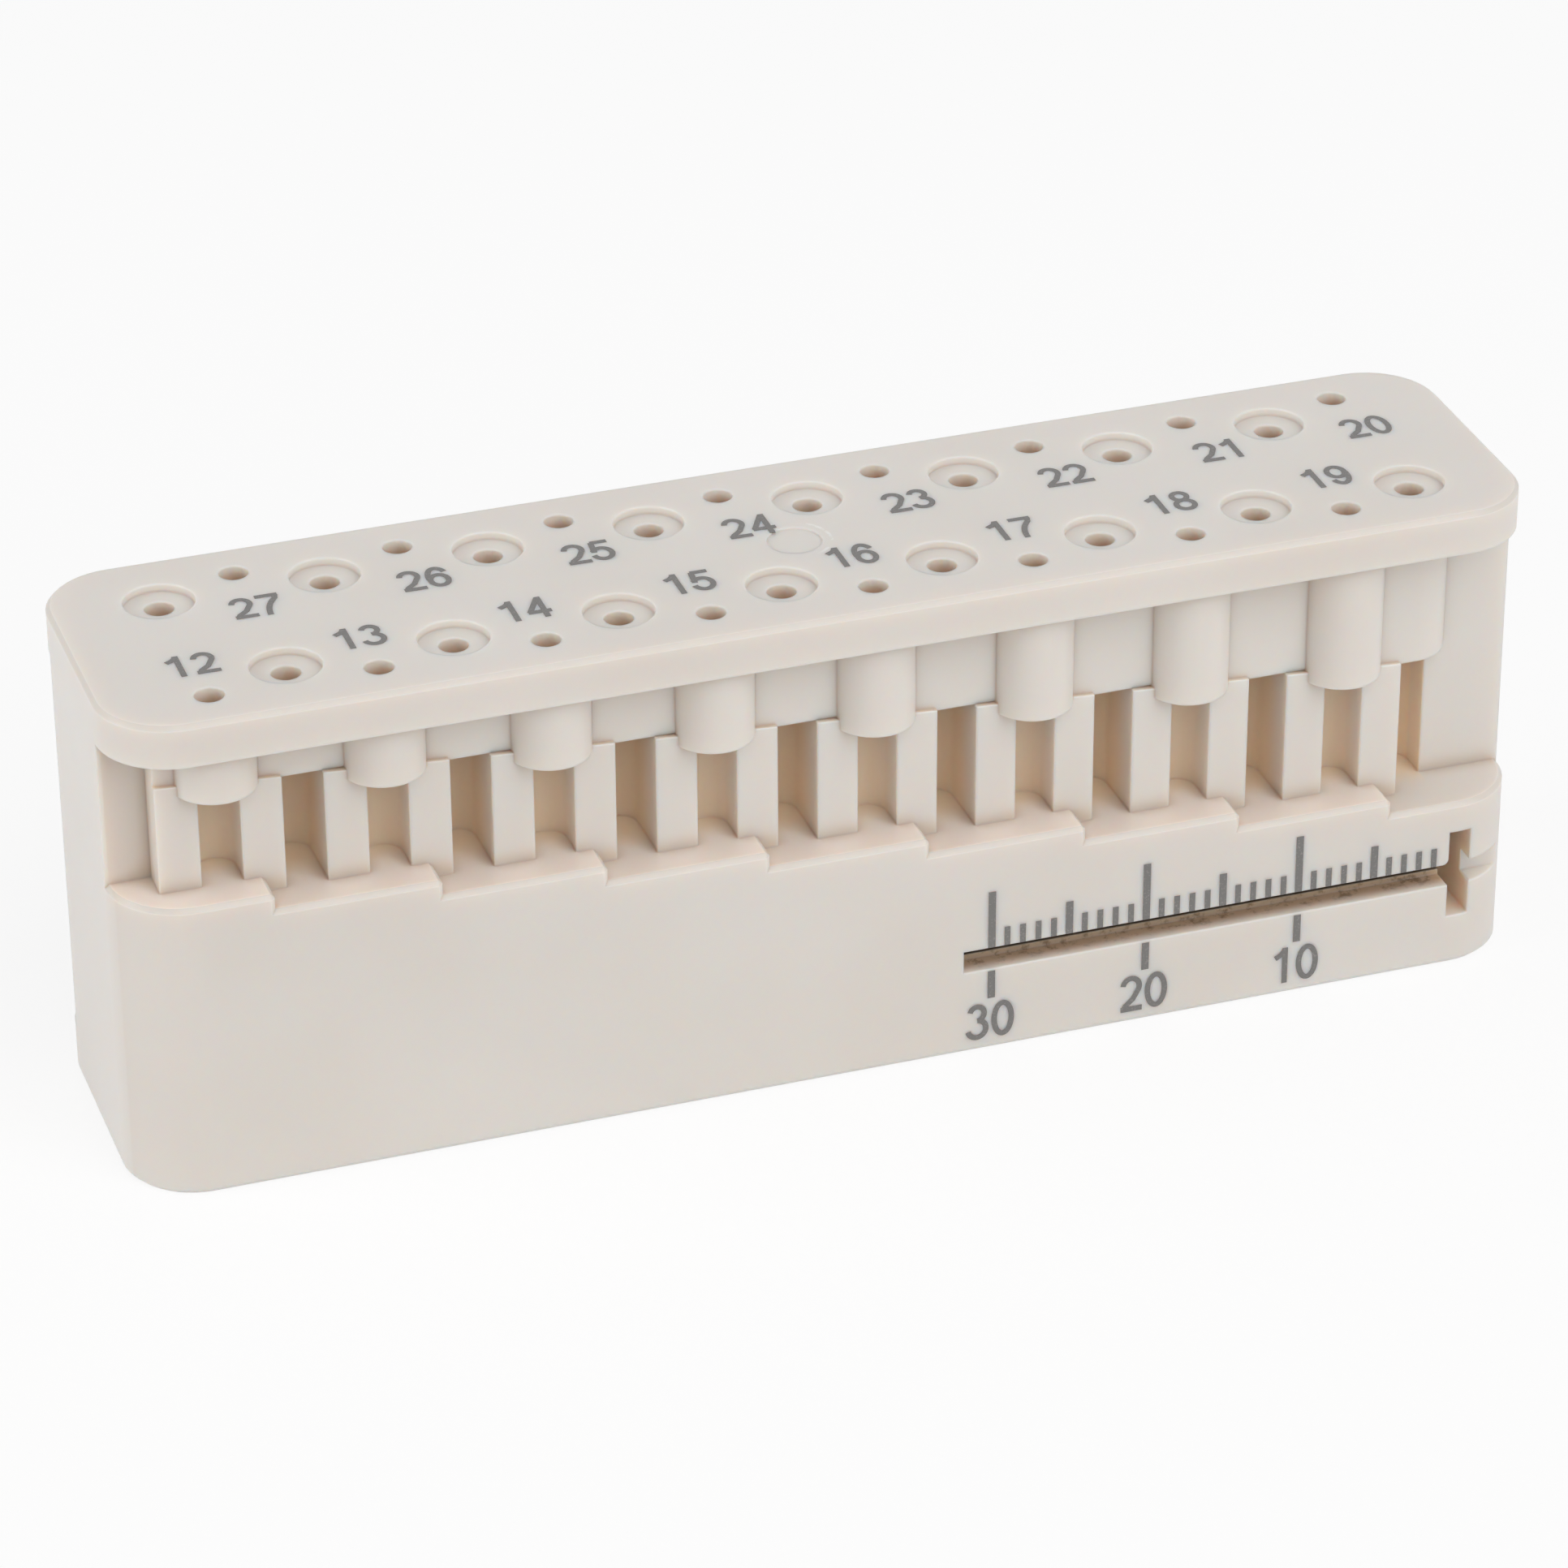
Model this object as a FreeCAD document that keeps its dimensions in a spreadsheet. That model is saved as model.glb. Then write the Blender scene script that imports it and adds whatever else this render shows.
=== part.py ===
"""Endodontic measuring block, one moulded piece, in millimetres.

X runs along the block, -Y faces the side with the scale, +Z is up, and the
origin is the middle of the underside. Number N on the top stands beside a
small hole that ends N mm above a ledge; the cupped hole next to it reads half
a millimetre more. Both long sides carry the same eight windows, turned half
round, and the back ones read on from where the front ones stop.
"""
import FreeCAD, Part
import math
import os
import Sketcher

VECTOR = FreeCAD.Vector
UPRIGHT = FreeCAD.Rotation(VECTOR(1, 0, 0), 90)
HALF_TURN = FreeCAD.Rotation(VECTOR(0, 0, 1), 180)
SEEN_FROM_BACK = FreeCAD.Rotation(VECTOR(0, 1, 0), 180)
QUARTER = math.pi / 2
TINY = 1e-4

SIZES = {
    # whole block
    "width": 20.3,
    "end_run": 4.0,
    "base": 3.4,
    "corner": 4.5,
    "top_bevel": 0.25,
    "ledge_bevel": 0.25,
    "foot_bevel": 0.25,
    "plate": 2.7,
    # rows of holes
    "holes_per_row": 8,
    "pitch": 10.0,
    "first_number": 12,
    "mark": 1.0,
    "small_row": 7.0,
    "cup_row": 5.0,
    "bore": 0.9,
    "cup": 2.15,
    "cup_depth": 0.5,
    "bore_spare": 0.5,
    # guide wall and tubes under the plate
    "panel_face": 5.7,
    "tube": 2.5,
    "guide_drop": 5.8,
    "guide_fall": 0.75,
    # ribs and slots over the ledges
    "rib_face": 7.8,
    "rib": 2.5,
    "slot": 2.5,
    "slot_setback": 1.0,
    "rib_rise": 0.45,
    # ruler in the front face
    "zero": 39.0,
    "ruler_level": 25.0,
    "ruler_length": 31.8,
    "ruler_gap": 1.5,
    "ruler_depth": 1.5,
    "shaft_gap": 1.0,
    "shaft_lift": 0.4,
    "zero_round": 0.4,
    "stop_width": 1.5,
    "stop_height": 6.0,
    "stop_depth": 5.0,
    # gate mark on the top
    "gate": 1.65,
    "gate_depth": 0.12,
}

doc = FreeCAD.newDocument("MeasuringBlock")
sheet = doc.addObject("Spreadsheet::Sheet", "Sizes")
for row, (alias, value) in enumerate(SIZES.items(), start=1):
    sheet.set(f"A{row}", alias)
    sheet.set(f"B{row}", str(value))
    sheet.setAlias(f"B{row}", alias)
doc.recompute()
HOLES = int(sheet.get("holes_per_row"))


# Worked out from the sheet: the field of holes and its ends, the depths and the base.
LENGTH = "(Sizes.holes_per_row * Sizes.pitch + 2 * Sizes.end_run)"
HEIGHT = "(Sizes.base + (Sizes.first_number + 2 * Sizes.holes_per_row) * Sizes.mark)"
FRONT_FIRST = "Sizes.first_number"
BACK_FIRST = "(Sizes.first_number + Sizes.holes_per_row)"


def size(alias):
    """The expression that reads one cell of the sheet."""
    return f"Sizes.{alias}"


def bind(target, **expressions):
    """Tie properties to expressions; two underscores stand for a dot."""
    for name, expression in expressions.items():
        target.setExpression(name.replace("__", "."), expression)
    return target


def small_x(k):
    """Place of small hole k along the front row."""
    return f"((0.5 - Sizes.holes_per_row / 2) * Sizes.pitch - Sizes.pitch / 4 + {k} * Sizes.pitch)"


def cup_x(k):
    """Place of cupped hole k, half a pitch after its small hole."""
    return f"({small_x(k)} + Sizes.pitch / 2)"


def step_x(k):
    """Where ledge k ends and the next, one mark lower, begins."""
    return f"({small_x(k)} + Sizes.pitch / 4)"


def ledge_z(first, k):
    """Height of the ledge that number first + k is measured to."""
    return f"({HEIGHT} - ({first} + {k}) * Sizes.mark)"


def guide_z(first, k):
    """Height of the lower end of tube k and of the guide wall after it."""
    return f"({HEIGHT} - Sizes.guide_drop - ({first} + {k} - Sizes.first_number) * Sizes.guide_fall)"


def rib_z(first, x):
    """Height of the sloping tops of the ribs at place x."""
    return f"({guide_z(first, 0)} + Sizes.rib_rise - ({x} - {small_x(0)}) * Sizes.guide_fall / Sizes.pitch)"


def plate_z():
    """Height of the plate's underside."""
    return f"({HEIGHT} - Sizes.plate)"


def bay_half():
    """Half of one rib, slot and rib."""
    return "(Sizes.slot / 2 + Sizes.rib)"


def outline(owner, name, points):
    """A closed sketch of straight lines through points, each held by two expressions."""
    if hasattr(owner, "newObject"):
        sketch = owner.newObject("Sketcher::SketchObject", name)
    else:
        sketch = owner.addObject("Sketcher::SketchObject", name)
    placed = [VECTOR(sketch.evalExpression(x), sketch.evalExpression(y), 0) for x, y in points]
    for i, start in enumerate(placed):
        sketch.addGeometry(Part.LineSegment(start, placed[(i + 1) % len(placed)]), False)
    for i in range(len(placed)):
        sketch.addConstraint(Sketcher.Constraint("Coincident", i, 2, (i + 1) % len(placed), 1))
    for i, (x, y) in enumerate(points):
        across = sketch.addConstraint(Sketcher.Constraint("DistanceX", -1, 1, i, 1, placed[i].x))
        up = sketch.addConstraint(Sketcher.Constraint("DistanceY", -1, 1, i, 1, placed[i].y))
        sketch.setExpression(f"Constraints[{across}]", x)
        sketch.setExpression(f"Constraints[{up}]", y)
    return sketch


def extrude(name, sketch, direction, run):
    """A solid made by carrying a sketch along a direction."""
    solid = doc.addObject("Part::Extrusion", name)
    solid.Base = sketch
    solid.DirMode = "Custom"
    solid.Dir = VECTOR(*direction)
    solid.Solid = True
    return bind(solid, LengthFwd=run)


def upright(name, points, face, run):
    """An upright profile that starts at distance face in front of the middle and runs to the front."""
    sketch = outline(doc, f"{name}_profile", points)
    sketch.Placement = FreeCAD.Placement(VECTOR(0, 0, 0), UPRIGHT)
    bind(sketch, Placement__Base__y=f"-({face})")
    return extrude(name, sketch, (0, -1, 0), run)


def cylinder(name, radius, x, y, low, high):
    """A round post between two heights."""
    post = doc.addObject("Part::Cylinder", name)
    bind(post, Radius=radius, Height=f"{high} - {low}")
    return bind(post, Placement__Base__x=x, Placement__Base__y=y, Placement__Base__z=low)


def box(name, x, y, z, run_x, run_y, run_z):
    """A box from its lowest corner."""
    block = doc.addObject("Part::Box", name)
    bind(block, Length=run_x, Width=run_y, Height=run_z)
    return bind(block, Placement__Base__x=x, Placement__Base__y=y, Placement__Base__z=z)


def fuse(name, shapes):
    """All shapes as one."""
    whole = doc.addObject("Part::MultiFuse", name)
    whole.Shapes = shapes
    return whole


def cut(name, base, tool):
    """What is left of base without tool."""
    rest = doc.addObject("Part::Cut", name)
    rest.Base = base
    rest.Tool = tool
    return rest


def edges_of(shape, test):
    """Names of the edges whose box passes the test."""
    return [f"Edge{i}" for i, edge in enumerate(shape.Edges, start=1) if test(edge.BoundBox)]


def level(edge_box, height):
    """True for an edge that lies flat at a height."""
    return abs(edge_box.ZMin - height) < TINY and abs(edge_box.ZMax - height) < TINY


# Stock: the rounded rectangle, with a stepped recess along each long side.
body = doc.addObject("PartDesign::Body", "stock")
planes = {feature.Role: feature for feature in body.Origin.OriginFeatures}

plan = body.newObject("Sketcher::SketchObject", "plan")
plan.AttachmentSupport = [(planes["XY_Plane"], "")]
plan.MapMode = "FlatFace"
half_x = plan.evalExpression(f"{LENGTH} / 2")
half_y = plan.evalExpression("Sizes.width / 2")
radius = plan.evalExpression("Sizes.corner")
inner_x = half_x - radius
inner_y = half_y - radius
sides = [
    ((-inner_x, -half_y), (inner_x, -half_y)),
    ((half_x, -inner_y), (half_x, inner_y)),
    ((inner_x, half_y), (-inner_x, half_y)),
    ((-half_x, inner_y), (-half_x, -inner_y)),
]
centres = [(inner_x, -inner_y), (inner_x, inner_y), (-inner_x, inner_y), (-inner_x, -inner_y)]
for i, ((x0, y0), (x1, y1)) in enumerate(sides):
    plan.addGeometry(Part.LineSegment(VECTOR(x0, y0, 0), VECTOR(x1, y1, 0)), False)
    circle = Part.Circle(VECTOR(*centres[i], 0), VECTOR(0, 0, 1), radius)
    plan.addGeometry(Part.ArcOfCircle(circle, (i - 1) * QUARTER, i * QUARTER), False)
for i in range(len(sides)):
    line, arc, following = 2 * i, 2 * i + 1, (2 * i + 2) % (2 * len(sides))
    plan.addConstraint(Sketcher.Constraint("Tangent", line, 2, arc, 1))
    plan.addConstraint(Sketcher.Constraint("Tangent", arc, 2, following, 1))
    plan.addConstraint(Sketcher.Constraint("Horizontal" if i % 2 == 0 else "Vertical", line))
for arc in (3, 5, 7):
    plan.addConstraint(Sketcher.Constraint("Equal", 1, arc))
plan.addConstraint(Sketcher.Constraint("Symmetric", 0, 1, 4, 1, -1, 1))
corner_mark = plan.addConstraint(Sketcher.Constraint("Radius", 1, radius))
length_mark = plan.addConstraint(Sketcher.Constraint("DistanceX", 6, 1, 2, 1, 2 * half_x))
width_mark = plan.addConstraint(Sketcher.Constraint("DistanceY", 0, 1, 4, 1, 2 * half_y))
plan.setExpression(f"Constraints[{corner_mark}]", size("corner"))
plan.setExpression(f"Constraints[{length_mark}]", LENGTH)
plan.setExpression(f"Constraints[{width_mark}]", size("width"))

stock = body.newObject("PartDesign::Pad", "stock_pad")
stock.Profile = plan
bind(stock, Length=HEIGHT)
doc.recompute()


def ledge_points(first):
    """The recess seen from the front: the plate above, nine ledges below."""
    left = f"(-{LENGTH})"
    right = LENGTH
    points = [(left, plate_z()), (left, ledge_z(first, 0))]
    for k in range(HOLES):
        points.append((step_x(k), ledge_z(first, k)))
        points.append((step_x(k), ledge_z(first, k + 1)))
    points.append((right, ledge_z(first, HOLES)))
    points.append((right, plate_z()))
    return points


def recess(name, first, turned):
    """Cut the long recess of one side out of the stock."""
    sketch = outline(body, f"{name}_ledges", ledge_points(first))
    sketch.AttachmentSupport = [(planes["XZ_Plane"], "")]
    sketch.MapMode = "FlatFace"
    if turned:
        sketch.AttachmentOffset = FreeCAD.Placement(VECTOR(0, 0, 0), SEEN_FROM_BACK)
    bind(sketch, AttachmentOffset__Base__z=f"{'-' if turned else ''}Sizes.panel_face")
    pocket = body.newObject("PartDesign::Pocket", f"{name}_recess")
    pocket.Profile = sketch
    pocket.Reversed = True
    bind(pocket, Length=size("width"))
    doc.recompute()
    return pocket


front_recess = recess("front", FRONT_FIRST, False)
back_recess = recess("back", BACK_FIRST, True)


# Soft edges of the stock: ledges and panels, top and foot.
def is_ledge_edge(edge_box):
    """True for an outer edge of a ledge, both free edges of a step and the panels' upright ends."""
    face = sheet.get("panel_face") + TINY
    past_panels = edge_box.YMin < -face or edge_box.YMax > face
    under = top_height - sheet.get("plate")
    if edge_box.ZMax > under + TINY or edge_box.ZMin < TINY:
        return False
    if edge_box.ZLength > TINY:
        at_front = abs(max(-edge_box.YMin, edge_box.YMax) - half_y) < TINY
        at_end = abs(max(-edge_box.XMin, edge_box.XMax) - half_x) < TINY
        return at_front or (at_end and not past_panels)
    if edge_box.ZMin > under - TINY or not past_panels:
        return False
    if edge_box.XLength > TINY:
        return True
    front = edge_box.YMin < 0
    first = FRONT_FIRST if front else BACK_FIRST
    x = edge_box.XMin if front else -edge_box.XMin
    for k in range(HOLES):
        if abs(x - plan.evalExpression(step_x(k))) < TINY:
            return abs(edge_box.ZMin - plan.evalExpression(ledge_z(first, k))) < TINY
    return False


def bevel(name, base, test):
    """Take the edges of the stock that pass a test off by the size of the same name."""
    feature = body.newObject("PartDesign::Chamfer", name)
    feature.Base = (base, edges_of(base.Shape, test))
    bind(feature, Size=size(name))
    doc.recompute()
    return feature


top_height = plan.evalExpression(HEIGHT)
bevelled = bevel("ledge_bevel", back_recess, is_ledge_edge)
bevelled = bevel("foot_bevel", bevelled, lambda edge_box: level(edge_box, 0))
bevelled = bevel("top_bevel", bevelled, lambda edge_box: level(edge_box, top_height))
body.Tip = bevelled


# Guide wall and ribs on one long side, drawn as on the front.
def guide_points(first):
    """The guide wall seen from the front: its lower edge steps down at each tube."""
    left = f"({small_x(0)} - {bay_half()})"
    points = [(left, plate_z()), (left, guide_z(first, 0))]
    for k in range(1, HOLES):
        points.append((small_x(k), guide_z(first, k - 1)))
        points.append((small_x(k), guide_z(first, k)))
    points.append((cup_x(HOLES - 1), guide_z(first, HOLES - 1)))
    points.append((cup_x(HOLES - 1), plate_z()))
    return points


def rib_points(first):
    """The ribs as one wall seen from the front, with a sloping top."""
    left = f"({small_x(0)} - {bay_half()})"
    right = f"({small_x(HOLES - 1)} + {bay_half()})"
    low = ledge_z(first, HOLES)
    return [(left, low), (right, low), (right, rib_z(first, right)), (left, rib_z(first, left))]


def slot_cutter(name, x, row, low, high):
    """A slot with a round back, open to the front, for the window under a hole."""
    centre = f"-({row} - Sizes.slot_setback)"
    round_back = cylinder(f"{name}_back", "Sizes.slot / 2", x, centre, low, high)
    opening = box(
        f"{name}_mouth",
        f"{x} - Sizes.slot / 2",
        f"{centre} - Sizes.width",
        low,
        size("slot"),
        size("width"),
        f"{high} - {low}",
    )
    return [round_back, opening]


def side_walls(name, first):
    """What stands proud of the panels: the guide wall with its round end, and the ribs.

    The ribs rise past the guide wall's lower edge, but not across the bays between them.
    """
    guide_face = "(Sizes.cup_row + Sizes.tube)"
    inside = "(Sizes.panel_face / 2)"
    wall = upright(f"{name}_guide", guide_points(first), inside, f"{guide_face} - {inside}")
    last = HOLES - 1
    end = cylinder(
        f"{name}_guide_end", size("tube"), cup_x(last), "-Sizes.cup_row", guide_z(first, last), plate_z()
    )
    ribs = upright(f"{name}_ribs", rib_points(first), inside, f"Sizes.rib_face - {inside}")
    bays = [
        box(
            f"{name}_bay_{k}",
            f"{cup_x(k)} - Sizes.slot / 2",
            "-Sizes.width",
            guide_z(first, k),
            size("slot"),
            size("width"),
            size("rib_rise"),
        )
        for k in range(HOLES)
    ]
    return [wall, end, cut(f"{name}_parted_ribs", ribs, fuse(f"{name}_bays", bays))]


def side_tubes(name, first):
    """The tubes that carry the small holes down from the plate."""
    return [
        cylinder(
            f"{name}_tube_{k}", size("tube"), small_x(k), "-Sizes.small_row", guide_z(first, k), plate_z()
        )
        for k in range(HOLES)
    ]


def side_holes(name, first):
    """Slots, bores and cups of one side."""
    cutters = []
    bore_low = f"({ledge_z(first, 0)} + Sizes.bore_spare)"
    for k in range(HOLES):
        small_slot = f"{name}_small_slot_{k}"
        cup_slot = f"{name}_cup_slot_{k}"
        exit_z = guide_z(first, k)
        cutters += slot_cutter(small_slot, small_x(k), size("small_row"), ledge_z(first, k), exit_z)
        cutters += slot_cutter(cup_slot, cup_x(k), size("cup_row"), ledge_z(first, k + 1), exit_z)
        at_small = (small_x(k), "-Sizes.small_row")
        at_cup = (cup_x(k), "-Sizes.cup_row")
        floor = f"({HEIGHT} - Sizes.cup_depth)"
        cutters.append(cylinder(f"{name}_small_bore_{k}", size("bore"), *at_small, bore_low, HEIGHT))
        cutters.append(cylinder(f"{name}_cup_bore_{k}", size("bore"), *at_cup, bore_low, HEIGHT))
        cutters.append(cylinder(f"{name}_cup_{k}", size("cup"), *at_cup, floor, HEIGHT))
    return cutters


# Ruler groove and stop slot in the front face, seen from the front.
def front_box(name, left, run, low, tall, depth):
    """A cut of the given depth from the front face inwards."""
    return box(name, left, "-Sizes.width", low, run, f"Sizes.width / 2 + {depth}", tall)


groove_left = "(Sizes.zero - Sizes.ruler_length)"
groove_middle = f"({HEIGHT} - Sizes.ruler_level)"
groove_low = f"({groove_middle} - Sizes.ruler_gap / 2)"
groove_high = f"({groove_middle} + Sizes.ruler_gap / 2)"
ruler_groove = front_box(
    "ruler_groove",
    groove_left,
    f"{LENGTH} / 2 - {groove_left}",
    groove_low,
    size("ruler_gap"),
    size("ruler_depth"),
)
shaft_slit = front_box(
    "shaft_slit",
    groove_left,
    size("ruler_length"),
    f"{groove_low} + Sizes.shaft_lift",
    size("shaft_gap"),
    size("stop_depth"),
)
stop_slot = front_box(
    "stop_slot",
    size("zero"),
    size("stop_width"),
    f"{groove_middle} - Sizes.stop_height / 2",
    size("stop_height"),
    size("stop_depth"),
)
zero_corner = front_box(
    "zero_corner",
    "Sizes.zero - Sizes.zero_round",
    size("zero_round"),
    groove_high,
    size("zero_round"),
    size("ruler_depth"),
)
zero_arc = doc.addObject("Part::Cylinder", "zero_arc")
zero_arc.Placement.Rotation = UPRIGHT
bind(
    zero_arc,
    Radius=size("zero_round"),
    Height=size("width"),
    Placement__Base__x="Sizes.zero - Sizes.zero_round",
    Placement__Base__z=f"{groove_high} + Sizes.zero_round",
)
ruler_cuts = [ruler_groove, shaft_slit, stop_slot, cut("zero_rounding", zero_corner, zero_arc)]
gate_mark = cylinder("gate_mark", size("gate"), "0", "0", f"({HEIGHT} - Sizes.gate_depth)", HEIGHT)

# Turn the back's parts half round and join everything.
sides = (("front", FRONT_FIRST, False), ("back", BACK_FIRST, True))
walls, tubes, holes = [], [], []
for name, first, turned in sides:
    made = {
        "walls": (walls, side_walls(name, first)),
        "tubes": (tubes, side_tubes(name, first)),
        "holes": (holes, side_holes(name, first)),
    }
    for kind, (group, shapes) in made.items():
        joined = fuse(f"{name}_{kind}", shapes)
        if turned:
            joined.Placement = FreeCAD.Placement(VECTOR(0, 0, 0), HALF_TURN)
        group.append(joined)

moulding = fuse("moulding", [body] + walls + tubes)
block = cut("block", moulding, fuse("all_cuts", holes + ruler_cuts + [gate_mark]))
block.Refine = True
block.Label = "measuring_block"
doc.recompute()

NODES = [block]

failed = [item.Name for item in doc.Objects if "Invalid" in item.State or "Error" in item.State]
if failed:
    raise RuntimeError(f"failed objects: {failed}")
for node in NODES:
    if node.Shape.isNull() or not node.Shape.isValid():
        raise RuntimeError(f"bad shape: {node.Label}")
    if len(node.Shape.Solids) != 1:
        raise RuntimeError(f"not one solid: {node.Label} has {len(node.Shape.Solids)}")

os.makedirs("parts", exist_ok=True)
for node in NODES:
    node.Shape.exportStep(f"parts/{node.Label}.step")
    print(node.Label, "volume", round(node.Shape.Volume, 1), "faces", len(node.Shape.Faces))
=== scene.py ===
"""Looks, print, light and camera for an endodontic measuring block, one ivory moulding.

Lengths inside the classes are in millimetres, as on the part's own drawing; MM turns
them into the scene's metres. X runs along the block, -Y is the side with the ruler,
+Z is up, and the origin is the middle of the underside.
"""
import logging
import math
from dataclasses import dataclass
from enum import Enum
from typing import Any

import bpy
import numpy as np
from mathutils import Matrix, Vector


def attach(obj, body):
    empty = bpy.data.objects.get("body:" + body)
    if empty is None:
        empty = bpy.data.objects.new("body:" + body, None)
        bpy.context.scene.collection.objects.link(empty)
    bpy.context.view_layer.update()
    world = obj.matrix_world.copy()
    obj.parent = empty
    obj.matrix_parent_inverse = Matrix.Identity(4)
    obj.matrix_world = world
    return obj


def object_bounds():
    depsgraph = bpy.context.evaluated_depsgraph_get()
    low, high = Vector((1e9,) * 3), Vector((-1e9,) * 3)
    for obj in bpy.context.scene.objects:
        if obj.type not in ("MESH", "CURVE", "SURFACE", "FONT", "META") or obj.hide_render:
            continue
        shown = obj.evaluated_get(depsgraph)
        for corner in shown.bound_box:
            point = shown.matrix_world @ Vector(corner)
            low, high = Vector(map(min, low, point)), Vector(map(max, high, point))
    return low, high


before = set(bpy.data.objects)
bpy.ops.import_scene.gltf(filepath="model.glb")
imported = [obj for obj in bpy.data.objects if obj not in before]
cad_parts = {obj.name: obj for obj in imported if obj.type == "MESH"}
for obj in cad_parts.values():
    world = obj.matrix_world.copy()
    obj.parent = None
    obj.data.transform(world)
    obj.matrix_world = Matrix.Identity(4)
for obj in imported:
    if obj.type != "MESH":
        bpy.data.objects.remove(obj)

LOG = logging.getLogger("measuring_block")
MM = 0.001
IMAGE_WIDTH = 1932
SOFT_SAMPLES = 8
CAD_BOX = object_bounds()
HEIGHT = CAD_BOX[1][2] / MM
FRONT = -CAD_BOX[0][1] / MM

Colour = tuple[float, float, float, float]
# Where a mask is 0 and where it is 1, or the two ends of a stretch.
Band = tuple[float, float]
# A stroke's middle line, and whether it closes on itself.
Stroke = tuple[np.ndarray, bool]


def srgb(red: int, green: int, blue: int) -> Colour:
    """A linear colour from its 0 to 255 screen values.

    The sRGB curve is a straight line near black, and a power of 2.4 above it.

    Args:
        red: Screen value of red.
        green: Screen value of green.
        blue: Screen value of blue.

    Returns:
        The colour as Blender's sockets take it, with full opacity.
    """
    parts = np.array([red, green, blue]) / 255
    linear = np.where(parts <= 0.04045, parts / 12.92, ((parts + 0.055) / 1.055) ** 2.4)
    return (*(float(part) for part in linear), 1.0)


# Shader sums


class Sum:
    """One number socket, with the arithmetic that the finishes use."""

    def __init__(self, recipe: "Recipe", socket: bpy.types.NodeSocket) -> None:
        """Keep the socket and the recipe that new Math nodes go into."""
        self.recipe = recipe
        self.socket = socket

    def __add__(self, other: Any) -> "Sum":
        """Self plus other."""
        return self.recipe.math("ADD", self, other)

    def __sub__(self, other: Any) -> "Sum":
        """Self less other."""
        return self.recipe.math("SUBTRACT", self, other)

    def __rsub__(self, other: Any) -> "Sum":
        """Other less self."""
        return self.recipe.math("SUBTRACT", other, self)

    def __mul__(self, other: Any) -> "Sum":
        """Self times other."""
        return self.recipe.math("MULTIPLY", self, other)

    __radd__ = __add__
    __rmul__ = __mul__

    def size(self) -> "Sum":
        """Self without its sign."""
        return self.recipe.math("ABSOLUTE", self)

    def most(self, other: Any) -> "Sum":
        """The greater of self and other."""
        return self.recipe.math("MAXIMUM", self, other)

    def within(self, low: float, high: float, soft: float) -> "Sum":
        """1 where self is between low and high, fading to 0 over a soft edge."""
        return self.ramp(low - soft, low) * self.ramp(high + soft, high)

    def ramp(self, low: float, high: float) -> "Sum":
        """A smooth step of self.

        Args:
            low: Where the step is 0.
            high: Where the step is 1, which may be less than low.

        Returns:
            The step, from 0 to 1.
        """
        settings = {"interpolation_type": "SMOOTHSTEP"}
        sockets = {"Value": self, "From Min": low, "From Max": high}
        return self.recipe.number("ShaderNodeMapRange", settings, sockets, "Result")


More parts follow.
